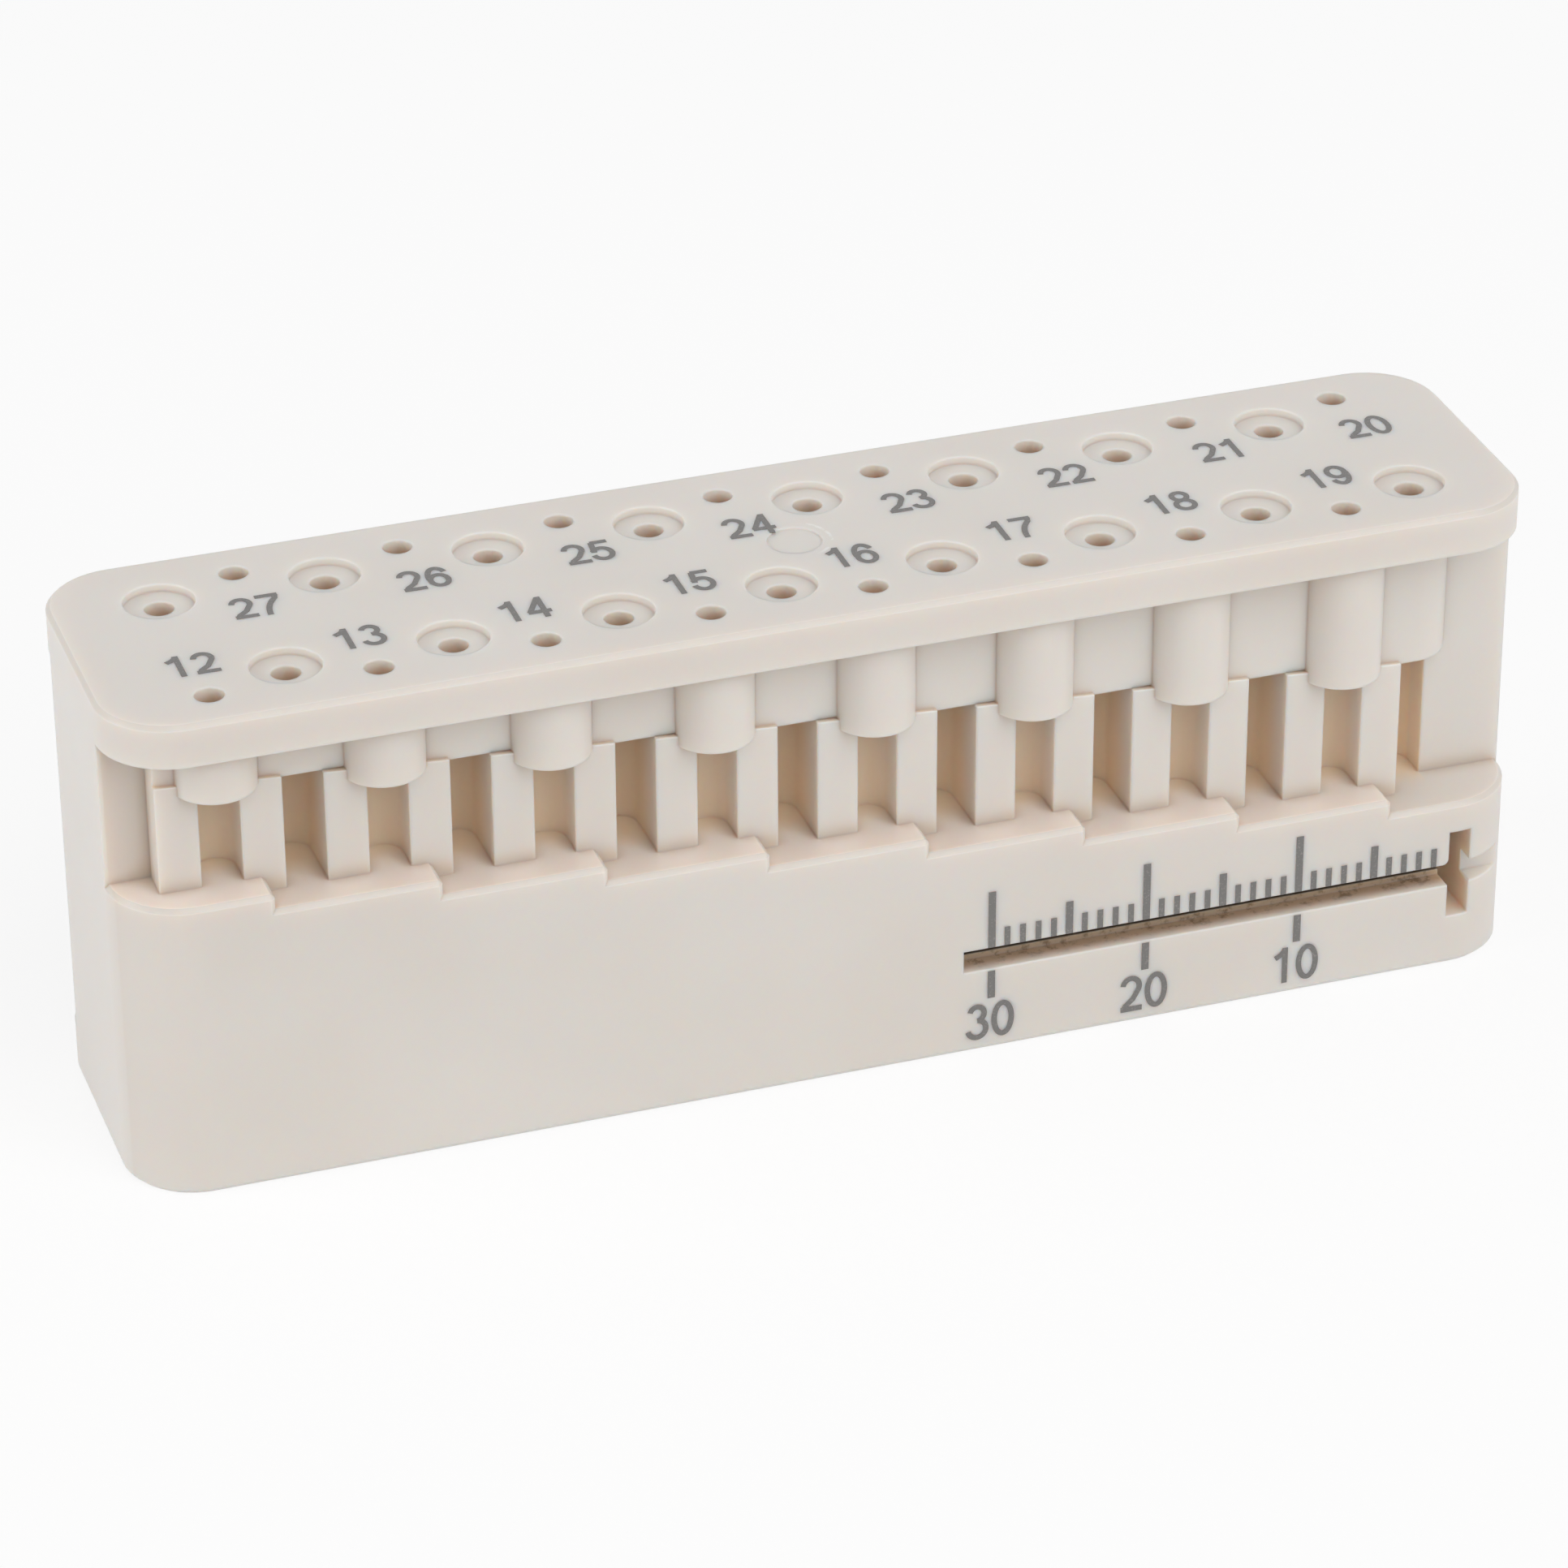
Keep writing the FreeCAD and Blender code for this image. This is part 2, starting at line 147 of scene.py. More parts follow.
class Recipe:
    """The node tree of one finish, or of the studio's surroundings."""

    # Numbers of a colour Mix node's sockets, whose names repeat.
    mix_share, mix_first, mix_second, mix_result = 0, 6, 7, 2

    def __init__(self, owner: Any, output: str) -> None:
        """Start an empty tree.

        Args:
            owner: The new material or world.
            output: The type of its output node.
        """
        self.owner = owner
        self.output = output
        owner.use_nodes = True
        self.tree = owner.node_tree
        self.tree.nodes.clear()

    @classmethod
    def of_material(cls, name: str) -> "Recipe":
        """An empty recipe in a new material."""
        return cls(bpy.data.materials.new(name), "ShaderNodeOutputMaterial")

    @classmethod
    def of_world(cls, name: str) -> "Recipe":
        """An empty recipe in a new world."""
        return cls(bpy.data.worlds.new(name), "ShaderNodeOutputWorld")

    def node(
        self,
        kind: str,
        settings: dict[str, Any] | None = None,
        sockets: dict[Any, Any] | None = None,
    ) -> Any:
        """Add one node.

        Args:
            kind: The node's type.
            settings: Its own settings, set before its sockets are filled.
            sockets: Values or links by socket name or number.

        Returns:
            The new node.
        """
        made = self.tree.nodes.new(kind)
        for name, value in (settings or {}).items():
            setattr(made, name, value)
        for name, value in (sockets or {}).items():
            target = made.inputs[name]
            source = value.socket if isinstance(value, Sum) else value
            if isinstance(source, bpy.types.NodeSocket):
                self.tree.links.new(source, target)
            else:
                target.default_value = source
        return made

    def number(
        self,
        kind: str,
        settings: dict[str, Any] | None,
        sockets: dict[Any, Any] | None,
        output: Any = 0,
    ) -> Sum:
        """Add one node and wrap one of its outputs for arithmetic."""
        return Sum(self, self.node(kind, settings, sockets).outputs[output])

    def math(self, operation: str, *values: Any) -> Sum:
        """Add one Math node on values or sockets."""
        return self.number("ShaderNodeMath", {"operation": operation}, dict(enumerate(values)))

    def position(self) -> tuple[Sum, Sum, Sum]:
        """Find the point's place on the object.

        Returns:
            Its X, Y and Z in millimetres.
        """
        place = self.node("ShaderNodeTexCoord").outputs["Object"]
        parts = self.node("ShaderNodeSeparateXYZ", None, {0: place})
        x, y, z = (Sum(self, parts.outputs[i]) * (1 / MM) for i in range(3))
        return x, y, z

    def slope(self) -> Sum:
        """How far the surface faces up, from -1 to 1."""
        normal = self.node("ShaderNodeTexCoord").outputs["Normal"]
        return self.number("ShaderNodeSeparateXYZ", None, {0: normal}, 2)

    def blend(self, share: Any, first: Any, second: Any) -> bpy.types.NodeSocket:
        """Mix two colours.

        Args:
            share: 0 for first, 1 for second.
            first: A colour or a colour socket.
            second: A colour or a colour socket.

        Returns:
            The mixed colour's socket.
        """
        sockets = {self.mix_share: share, self.mix_first: first, self.mix_second: second}
        return self.node("ShaderNodeMix", {"data_type": "RGBA"}, sockets).outputs[self.mix_result]

    def seen(self) -> Sum:
        """Tell what the camera sees, straight, in gloss or through glass, from light.

        Returns:
            1 where it is seen, and 0 where it only lights.
        """
        path = self.node("ShaderNodeLightPath")
        kinds = ("Camera", "Glossy", "Transmission")
        straight, gloss, glass = (Sum(self, path.outputs[f"Is {kind} Ray"]) for kind in kinds)
        return self.math("MINIMUM", straight + gloss + glass, 1.0)

    def merge(self, share: Sum, first: Any, second: Any) -> Any:
        """Mix two shader nodes, with share 0 for the first and 1 for the second."""
        sockets = {0: share, 1: first.outputs[0], 2: second.outputs[0]}
        return self.node("ShaderNodeMixShader", None, sockets)

    def finish(self, shader: Any) -> Any:
        """Send a shader node to the surface, and give the material or world."""
        self.node(self.output, None, {"Surface": shader.outputs[0]})
        return self.owner


@dataclass(frozen=True)
class Noise:
    """Cloudy noise over the object, about 0.5 on average, or a mask of its high parts.

    The scale counts clouds in a metre, the detail is the number of octaves of finer
    clouds, the roughness is their strength, and the band makes a mask of the noise.
    """

    scale: float
    detail: float
    roughness: float = 0.5
    band: Band | None = None

    def on(self, recipe: Recipe) -> Sum:
        """Add the noise to a recipe.

        Args:
            recipe: The recipe that it goes into.

        Returns:
            The noise, or its smooth step over the band.
        """
        place = recipe.node("ShaderNodeTexCoord").outputs["Object"]
        sockets = {
            "Vector": place,
            "Scale": self.scale,
            "Detail": self.detail,
            "Roughness": self.roughness,
        }
        noise = recipe.number("ShaderNodeTexNoise", None, sockets)
        return noise.ramp(*self.band) if self.band else noise


@dataclass
class BlockMap:
    """Masks that find the parts of the moulding by the place and the slope of a point, for the
    finish's tints, most of them painted light and shade.

    Drops count down from the top, depths inwards from the front face, and asides from
    the middle line to either side. Along counts from the first ledge of a side to its
    last, so it runs the other way behind. A slope is 1 where the surface faces up.
    """

    recipe: Recipe
    soft: float = 0.1
    front_half: Band = (0.1, -0.1)
    slot_asides: Band = (7.45, 4.45)
    slot_drops: Band = (2.6, 3.3)
    ribs_span: Band = (-41.2, 38.7)
    stop_sides: Band = (39.0, 40.5)
    stop_drops: Band = (22.0, 28.0)
    stop_depths: Band = (0.05, 1.2)
    stop_end: Band = (5.6, 5.4)
    bore_drops: Band = (0.25, 1.2)
    bore_feet: Band = (2.9, 2.7)
    bore_asides: Band = (9.6, 9.0)
    bore_ends: Band = (39.3, 38.9)
    bore_slopes: Band = (0.6, 0.3)
    cup_asides: Band = (3.9, 5.93)
    cup_soft: float = 0.05
    cup_depth: float = 0.5
    groove_sides: Band = (7.2, 39.0)
    groove_drops: Band = (24.25, 25.75)
    groove_end: Band = (5.25, 4.95)
    soil_depths: Band = (0.1, 1.1)
    gap_depths: Band = (1.3, 1.45)
    gap_drops: Band = (25.45, 25.35)
    ledge_drops: Band = (11.5, 19.5)
    ledge_slopes: Band = (0.75, 0.95)
    ledge_soft: float = 0.3
    behind_drop: float = 8.0
    corner_reach: float = 1.5
    corner_air: Band = (0.97, 0.4)
    corner_drops: Band = (0.2, 1.2)
    ruler_drops: Band = (20.5, 21.5)
    panel_span: Band = (-43.7, -41.3)
    panel_asides: Band = (8.5, 6.0)
    panel_drops: Band = (2.7, 2.8)
    gate_radii: Band = (2.16, 2.24)
    gate_soft: float = 0.12
    gate_right: Band = (0.6, 1.6)
    # Breaks in the paler arc.
    gate_wear: Noise = Noise(1400, 3, band=(0.45, 0.6))
    skin_drops: Band = (0.05, 0.01)

    def __post_init__(self) -> None:
        """Work out the place and the slope of a point."""
        self.x, self.y, z = self.recipe.position()
        self.drop = HEIGHT - z
        self.depth = self.y + FRONT
        self.aside = self.y.size()
        self.along = self.x * self.recipe.math("SIGN", self.y) * -1.0
        self.slope = self.recipe.slope()

    def slots(self) -> Sum:
        """How far in a point lies between the ribs and under the plate, for the slots' painted warm
        light.

        Returns:
            A smooth step inwards from just behind the ribs' faces, from 0 to 1.
        """
        between = self.aside.ramp(*self.slot_asides) * self.along.within(*self.ribs_span, self.soft)
        return between * self.drop.ramp(*self.slot_drops)

    def stop_slot(self) -> Sum:
        """How far in a point lies in the stop slot, for its painted warm light.

        Returns:
            A smooth step inwards from the front face, from 0 to 1.
        """
        inside = self.depth.ramp(*self.stop_depths) * self.depth.ramp(*self.stop_end)
        sides = self.x.within(*self.stop_sides, self.soft)
        return inside * sides * self.drop.within(*self.stop_drops, self.soft)

    def bores(self) -> Sum:
        """How far down a point lies in a bore, for the painted shade on its walls.

        Returns:
            A smooth step down from the bore's rim, to the foot of the plate, from 0 to 1.
        """
        cups = self.aside.within(*self.cup_asides, self.cup_soft) * self.cup_depth
        down = (self.drop - cups).ramp(*self.bore_drops) * self.drop.ramp(*self.bore_feet)
        inside = self.aside.ramp(*self.bore_asides) * self.x.size().ramp(*self.bore_ends)
        return down * inside * self.slope.ramp(*self.bore_slopes)

    def groove(self) -> Sum:
        """Find the ruler groove and the gap behind it.

        Returns:
            1 at their height and along their length, up to the gap's back.
        """
        inside = self.x.within(*self.groove_sides, self.soft) * self.depth.ramp(*self.groove_end)
        return inside * self.drop.within(*self.groove_drops, self.soft)

    def soil(self) -> Sum:
        """How far in a point lies in the ruler groove, from 0 to 1."""
        return self.groove() * self.depth.ramp(*self.soil_depths)

    def gap(self) -> Sum:
        """1 in the deeper gap behind the ruler groove, which gets painted shade."""
        return self.groove() * self.depth.ramp(*self.gap_depths) * self.drop.ramp(*self.gap_drops)

    def ledges(self) -> Sum:
        """Find the upward faces of the ledges, which lie lower behind than in front, for their
        painted light.

        Returns:
            1 on them, and 0 elsewhere.
        """
        behind = 1.0 - self.y.ramp(*self.front_half)
        drop = self.drop - behind * self.behind_drop
        return self.slope.ramp(*self.ledge_slopes) * drop.within(*self.ledge_drops, self.ledge_soft)

    def corners(self) -> Sum:
        """Find inside corners, where the finish paints shade, by how little open air they have.

        Returns:
            1 deep in a corner, and 0 in the open, the ruler's cuts and the gate mark.
        """
        settings = {"samples": SOFT_SAMPLES, "only_local": True}
        sockets = {"Distance": self.corner_reach * MM}
        open_air = self.recipe.number("ShaderNodeAmbientOcclusion", settings, sockets, "AO")
        ruler = self.y.ramp(*self.front_half) * self.drop.ramp(*self.ruler_drops)
        return open_air.ramp(*self.corner_air) * self.drop.ramp(*self.corner_drops) * (1.0 - ruler)

    def end_panels(self) -> Sum:
        """Find the shaded end panels under the plate, beside the first ledges.

        Returns:
            1 on them, and 0 elsewhere.
        """
        ends = self.along.within(*self.panel_span, self.soft)
        return ends * self.aside.ramp(*self.panel_asides) * self.drop.ramp(*self.panel_drops)

    def gate_arc(self) -> Sum:
        """Find a broken arc on the top, on the right of the gate mark, where the colour is paler.

        Its radius is the root of x times x plus y times y.

        Returns:
            1 on the arc, and 0 elsewhere.
        """
        radius = self.recipe.math("SQRT", self.x * self.x + self.y * self.y)
        ring = radius.within(*self.gate_radii, self.gate_soft) * self.x.ramp(*self.gate_right)
        return ring * self.gate_wear.on(self.recipe) * self.drop.ramp(*self.skin_drops)


# Finishes


@dataclass(frozen=True)
class IvoryPlastic:
    """Satin ivory moulding plastic, milky, with painted light and shade in its slots, bores,
    corners, bevels, ledges and the ruler's gap, and a brown tone deeper in its groove.
    """

    colour: Colour = srgb(227, 222, 216)
    cloud: Colour = srgb(225, 219, 212)
    # Painted light: the ledges' upward faces lighter and warmer, for light that falls on them and
    # passes through the plastic.
    ledge: Colour = srgb(236, 226, 218)
    # Painted shade on the 45 degree bevels, which dims their highlight.
    bevel: Colour = srgb(213, 208, 202)
    # Painted shade in inside corners and on the end panels.
    crease: Colour = srgb(196, 166, 136)
    # Painted warm light and shade in the slots between the ribs and in the stop slot, for light
    # that passes through the plastic.
    deep: Colour = srgb(240, 220, 196)
    # Painted shade, darker further down the bore walls.
    bore: Colour = srgb(220, 194, 164)
    # A paler, broken arc on the right of the gate mark.
    worn: Colour = srgb(240, 238, 234)
    # A speckled brown tone, darker further into the ruler groove.
    soiled: Colour = srgb(200, 174, 148)
    soil_speck: Colour = srgb(150, 126, 102)
    # Painted shade: near black in the deeper gap behind the ruler groove.
    soil_back: Colour = srgb(84, 76, 62)
    clouds: Noise = Noise(60, 2, band=(0.35, 0.7))
    specks: Noise = Noise(1500, 4, 0.65, (0.48, 0.68))
    patches: Noise = Noise(350, 3)
    ripples: Noise = Noise(900, 2)
    bevel_slopes: Band = (0.5, 0.85)
    bevel_soft: float = 0.06
    crease_share: float = 0.5
    panel_share: float = 0.3
    stop_share: float = 0.8
    roughness: float = 0.36
    roughness_spread: float = 0.08
    coat: float = 0.12
    coat_roughness: float = 0.25
    ior: float = 1.5
    edge_radius: float = 0.22
    ripple_height: float = 0.010
    ripple_strength: float = 0.25
    glow_depth: tuple[float, float, float] = (1.5, 1.0, 0.7)
    glow_share: float = 1.0

    def tint(self, recipe: Recipe) -> bpy.types.NodeSocket:
        """Lay the tints over the ivory, one after another, each where its mask is 1; most of them
        are painted light and shade.

        Args:
            recipe: The recipe that the masks and mixes go into.

        Returns:
            The colour's socket.
        """
        block = BlockMap(recipe)
        shade = block.corners().most(block.end_panels() * self.panel_share)
        soil = recipe.blend(self.specks.on(recipe), self.soiled, self.soil_speck)
        layers = (
            (self.clouds.on(recipe), self.cloud),
            # Painted light on the ledges' upward faces.
            (block.ledges(), self.ledge),
            # Painted shade on the bevels.
            (block.slope.within(*self.bevel_slopes, self.bevel_soft), self.bevel),
            # Painted shade in the corners and on the end panels.
            (shade * self.crease_share, self.crease),
            # Painted warm light and shade in the slots.
            (block.slots().most(block.stop_slot() * self.stop_share), self.deep),
            # Painted shade down the bore walls.
            (block.bores(), self.bore),
            (block.gate_arc(), self.worn),
            # A speckled brown tone, darker further into the groove.
            (block.soil(), soil),
            # Painted shade in the gap behind the groove.
            (block.gap(), self.soil_back),
        )
        colour = self.colour
        for share, tint in layers:
            colour = recipe.blend(share, colour, tint)
        return colour

    def make(self) -> bpy.types.Material:
        """Build the material: ivory tinted with painted light and shade, with soft edges and a
        faint ripple.

        Returns:
            The material.
        """
        recipe = Recipe.of_material("ivory_plastic")
        smoothest = self.roughness - self.roughness_spread / 2
        edge_sockets = {"Radius": self.edge_radius * MM}
        edges = recipe.node("ShaderNodeBevel", {"samples": SOFT_SAMPLES}, edge_sockets)
        ripple_sockets = {
            "Strength": self.ripple_strength,
            "Distance": self.ripple_height * MM,
            "Height": self.ripples.on(recipe),
            "Normal": edges.outputs[0],
        }
        bump = recipe.node("ShaderNodeBump", None, ripple_sockets)
        sockets = {
            "Base Color": self.tint(recipe),
            "Roughness": self.patches.on(recipe) * self.roughness_spread + smoothest,
            "IOR": self.ior,
            "Subsurface Weight": self.glow_share,
            "Subsurface Radius": self.glow_depth,
            "Subsurface Scale": MM,
            "Coat Weight": self.coat,
            "Coat Roughness": self.coat_roughness,
            "Normal": bump.outputs[0],
        }
        return recipe.finish(recipe.node("ShaderNodeBsdfPrincipled", None, sockets))


@dataclass(frozen=True)
class GreyInk:
    """Grey printing ink, slightly speckled."""

    colour: Colour = srgb(117, 115, 113)
    speckle: Colour = srgb(142, 138, 135)
    specks: Noise = Noise(9000, 2, band=(0.56, 0.72))
    roughness: float = 0.5

    def make(self) -> bpy.types.Material:
        """Build the material: grey with paler specks where the ink is thin.

        Returns:
            The material.
        """
        recipe = Recipe.of_material("grey_ink")
        colour = recipe.blend(self.specks.on(recipe), self.colour, self.speckle)
        sockets = {"Base Color": colour, "Roughness": self.roughness}
        return recipe.finish(recipe.node("ShaderNodeBsdfPrincipled", None, sockets))


@dataclass(frozen=True)
class StudioFloor:
    """Plain pale floor that shows nearly white, and keeps the object's shadow."""

    colour: Colour = srgb(243, 243, 243)
    roughness: float = 0.9
    glow: float = 1.02
    glow_part: float = 0.8

    def make(self) -> bpy.types.Material:
        """Build the matte material, with a white glow for what the camera sees.

        Returns:
            The material.
        """
        recipe = Recipe.of_material("studio_floor")
        sockets = {"Base Color": self.colour, "Roughness": self.roughness}
        matte = recipe.node("ShaderNodeBsdfPrincipled", None, sockets)
        white = recipe.node("ShaderNodeEmission", None, {"Strength": self.glow})
        return recipe.finish(recipe.merge(recipe.seen() * self.glow_part, matte, white))


@dataclass(frozen=True)
class StudioSky:
    """Plain surroundings: grey as light, white where they are seen."""

    colour: Colour = (1.0, 1.0, 1.0, 1.0)
    light: float = 0.39
    seen: float = 1.0

    def make(self) -> bpy.types.World:
        """Build the world.

        Returns:
            The world.
        """
        recipe = Recipe.of_world("studio_sky")
        light, white = (
            recipe.node("ShaderNodeBackground", None, {"Color": self.colour, "Strength": strength})
            for strength in (self.light, self.seen)
        )
        return recipe.finish(recipe.merge(recipe.seen(), light, white))


# Mesh making


def mesh_piece(
    name: str, points: np.ndarray, faces: np.ndarray, material: bpy.types.Material
) -> bpy.types.Object:
    """Put points and four-sided faces into a new piece.

    Args:
        name: The piece's name.
        points: Places in millimetres, one row each.
        faces: Point numbers, four to a row.
        material: The piece's finish.

    Returns:
        The piece, at the origin, with its place in its mesh.
    """
    mesh = bpy.data.meshes.new(name)
    mesh.from_pydata((points * MM).tolist(), [], faces.tolist())
    mesh.validate()
    mesh.update()
    mesh.materials.append(material)
    piece = bpy.data.objects.new(name, mesh)
    bpy.context.scene.collection.objects.link(piece)
    return piece


def tube_faces(rings: int, around: int, closed: bool) -> np.ndarray:
    """Faces that join rings of points one after another, with ends of four points closed.

    A point's number is its ring times the points in a ring, plus its turn in the ring.

    Args:
        rings: How many rings there are.
        around: Points in a ring.
        closed: Whether the last ring joins the first.

    Returns:
        Four point numbers a row: side faces, then the two ends of an open tube.
    """
    count = rings if closed else rings - 1
    start, turn = np.meshgrid(np.arange(count), np.arange(around), indexing="ij")
    following = (start + 1) % rings
    beside = (turn + 1) % around
    corners = [
        start * around + turn,
        start * around + beside,
        following * around + beside,
        following * around + turn,
    ]
    sides = np.stack(corners, axis=-1).reshape(-1, 4)
    if closed:
        return sides
    last = (rings - 1) * around
    ends = np.array([[3, 2, 1, 0], [last, last + 1, last + 2, last + 3]])
    return np.vstack([sides, ends])


# Print


class Side(Enum):
    """The faces that carry print: the top, read from the front, and the front."""

    TOP = "top"
    FRONT = "front"


@dataclass
class PrintFace:
    """A flat printed face: which way its text runs and rises, and where its surface is."""

    side: Side
    level: float

    def place(self, flat: np.ndarray) -> np.ndarray:
        """Turn flat print into places on the block.

        Args:
            flat: Rows of (along, up, proud) in millimetres.

        Returns:
            Rows of (x, y, z) in millimetres.
        """
        along, up, proud = flat[:, 0], flat[:, 1], flat[:, 2]
        if self.side is Side.TOP:
            return np.column_stack([along, up, self.level + proud])
        return np.column_stack([along, -self.level - proud, up])


def arc(
    centre: tuple[float, float],
    radii: tuple[float, float],
    first: float,
    last: float,
    steps: int = 20,
) -> np.ndarray:
    """Points of an ellipse's arc: centre plus radii times cosine and sine of each angle.

    Args:
        centre: The middle of the ellipse.
        radii: Half widths along and up.
        first: First angle in degrees.
        last: Last angle in degrees.
        steps: How many pieces the arc has.

    Returns:
        Points, one row each.
    """
    angle = np.radians(np.linspace(first, last, steps + 1))
    return np.array(centre) + np.array(radii) * np.column_stack([np.cos(angle), np.sin(angle)])


def line(*points: tuple[float, float]) -> np.ndarray:
    """The points of a bent line."""
    return np.array(points, float)


class Numeral:
    """The ten figures as strokes of one width, drawn in a cell 1 high and 0.62 wide."""

    width: float = 0.62
    mid: float = width / 2
    stroke: float = 0.14
    low: float = stroke / 2
    high: float = 1 - stroke / 2
    right: float = width - stroke / 2
    half: float = right - mid

    def paths(self, figure: str) -> list[Stroke]:
        """The middle lines of a figure's strokes, each with whether it closes on itself."""
        return getattr(self, f"_figure_{figure}")()

    def _figure_0(self) -> list[Stroke]:
        """A tall ring.

        Returns:
            The strokes.
        """
        ring = arc((self.mid, 0.5), (self.half, 0.5 - self.low), 0, 360, 40)[:-1]
        return [(ring, True)]

    def _figure_1(self) -> list[Stroke]:
        """A stem with a flag.

        Returns:
            The strokes.
        """
        stem = self.mid + 0.06
        return [
            (line((stem, 0), (stem, 1)), False),
            (np.vstack([line((0.09, 0.73)), arc((0.07, 1.02), (0.30, 0.26), -60, -8, 8)]), False),
        ]

    def _figure_2(self) -> list[Stroke]:
        """A hook that runs down to a foot.

        Returns:
            The strokes.
        """
        hook = arc((self.mid - 0.005, 0.70), (self.half - 0.01, self.high - 0.70), 172, -28, 22)
        return [
            (np.vstack([hook, line((0.36, 0.34), (0.15, 0.17), (0.085, 0.04))]), False),
            (line((0.02, self.low), (self.width, self.low)), False),
        ]

    def _figure_3(self) -> list[Stroke]:
        """Two bowls open to the left.

        Returns:
            The strokes.
        """
        upper = arc((self.mid - 0.02, 0.735), (0.20, self.high - 0.735), 165, -88, 20)
        lower = arc((self.mid - 0.02, 0.305), (self.half + 0.01, 0.305 - self.low), 85, -168, 24)
        return [(upper, False), (lower, False)]

    def _figure_4(self) -> list[Stroke]:
        """A slope, a bar and a stem.

        Returns:
            The strokes.
        """
        stem, bar = 0.44, 0.295
        return [
            (line((stem - 0.015, 0.95), (0.055, bar)), False),
            (line((0.01, bar), (self.width, bar)), False),
            (line((stem, 0), (stem, 1)), False),
        ]

    def _figure_5(self) -> list[Stroke]:
        """A bar, a short stem and a bowl.

        Returns:
            The strokes.
        """
        bowl = arc((self.mid - 0.02, 0.345), (self.half + 0.01, 0.345 - self.low), 150, -168, 26)
        return [
            (line((0.13, self.high), (0.57, self.high)), False),
            (line((0.15, self.high), (0.10, 0.44)), False),
            (bowl, False),
        ]

    def _figure_6(self) -> list[Stroke]:
        """A ring with a hook over it.

        Returns:
            The strokes.
        """
        ring = arc((self.mid + 0.01, 0.335), (self.half - 0.01, 0.335 - self.low), 0, 360, 32)[:-1]
        hook = arc((self.mid + 0.02, 0.48), (self.half + 0.01, self.high - 0.48), 32, 190, 22)
        return [(ring, True), (hook, False)]

    def _figure_7(self) -> list[Stroke]:
        """A bar and a bent leg.

        Returns:
            The strokes.
        """
        leg = arc((0.98, -0.02), (0.78, 0.98), 128, 180, 14)
        return [
            (line((0.02, self.high), (self.width - 0.01, self.high)), False),
            (np.vstack([line((self.right - 0.005, self.high - 0.01)), leg]), False),
        ]

    def _figure_8(self) -> list[Stroke]:
        """A small ring on a larger one.

        Returns:
            The strokes.
        """
        upper = arc((self.mid, 0.735), (0.195, self.high - 0.735), 0, 360, 28)[:-1]
        lower = arc((self.mid, 0.30), (self.half, 0.30 - self.low), 0, 360, 32)[:-1]
        return [(upper, True), (lower, True)]

    def _figure_9(self) -> list[Stroke]:
        """A six turned half round."""
        return [(np.array([self.width, 1.0]) - path, closed) for path, closed in self._figure_6()]


@dataclass
class Ink:
    """How print lies on a face, in millimetres."""

    proud: float = 0.015
    sunk: float = 0.03
    layer: float = 0.002

    def ribbon(
        self, path: np.ndarray, closed: bool, width: float, order: int
    ) -> tuple[np.ndarray, np.ndarray]:
        """Carry a flat oblong section along a path.

        Each ring of four points is the path's point moved half a width to either side,
        at the foot and at the top of the ink. The side direction is the path's slope
        turned a quarter round.

        Args:
            path: Points of the middle line.
            closed: Whether the path closes on itself.
            width: Width of the stroke.
            order: Number of the stroke, which lifts it a hair over the one before.

        Returns:
            Rows of (along, up, proud) and the faces that join them.
        """
        if closed:
            slope = np.roll(path, -1, axis=0) - np.roll(path, 1, axis=0)
        else:
            slope = np.gradient(path, axis=0)
        slope /= np.linalg.norm(slope, axis=1, keepdims=True)
        aside = np.column_stack([-slope[:, 1], slope[:, 0]]) * width / 2
        top = self.proud + order * self.layer
        foot = np.full(len(path), -self.sunk)
        head = np.full(len(path), top)
        left, right = path + aside, path - aside
        rings = np.stack(
            [
                np.column_stack([left, foot]),
                np.column_stack([right, foot]),
                np.column_stack([right, head]),
                np.column_stack([left, head]),
            ],
            axis=1,
        )
        return rings.reshape(-1, 3), tube_faces(len(path), 4, closed)


@dataclass
class PrintedNumber:
    """One number: its figures side by side, centred on a point of a face."""

    text: str
    centre: tuple[float, float]
    height: float
    pitch: float
    stretch: float
    face: PrintFace

    def build(self, name: str, material: bpy.types.Material) -> bpy.types.Object:
        """Make the number as one piece of ink.

        Each figure's cell starts one pitch after the one before, about the centre.

        Args:
            name: The piece's name.
            material: The ink.

        Returns:
            The piece.
        """
        numeral, ink = Numeral(), Ink()
        points, faces, count = [], [], 0
        scale = np.array([self.height * self.stretch, self.height])
        width = numeral.stroke * self.height
        first = self.centre[0] - self.pitch * (len(self.text) - 1) / 2
        for place, figure in enumerate(self.text):
            middle = np.array([first + place * self.pitch, self.centre[1]])
            corner = middle - scale * (numeral.width / 2, 0.5)
            for order, (path, closed) in enumerate(numeral.paths(figure)):
                rings, sides = ink.ribbon(path * scale + corner, closed, width, order)
                points.append(rings)
                faces.append(sides + count)
                count += len(rings)
        return mesh_piece(name, self.face.place(np.vstack(points)), np.vstack(faces), material)


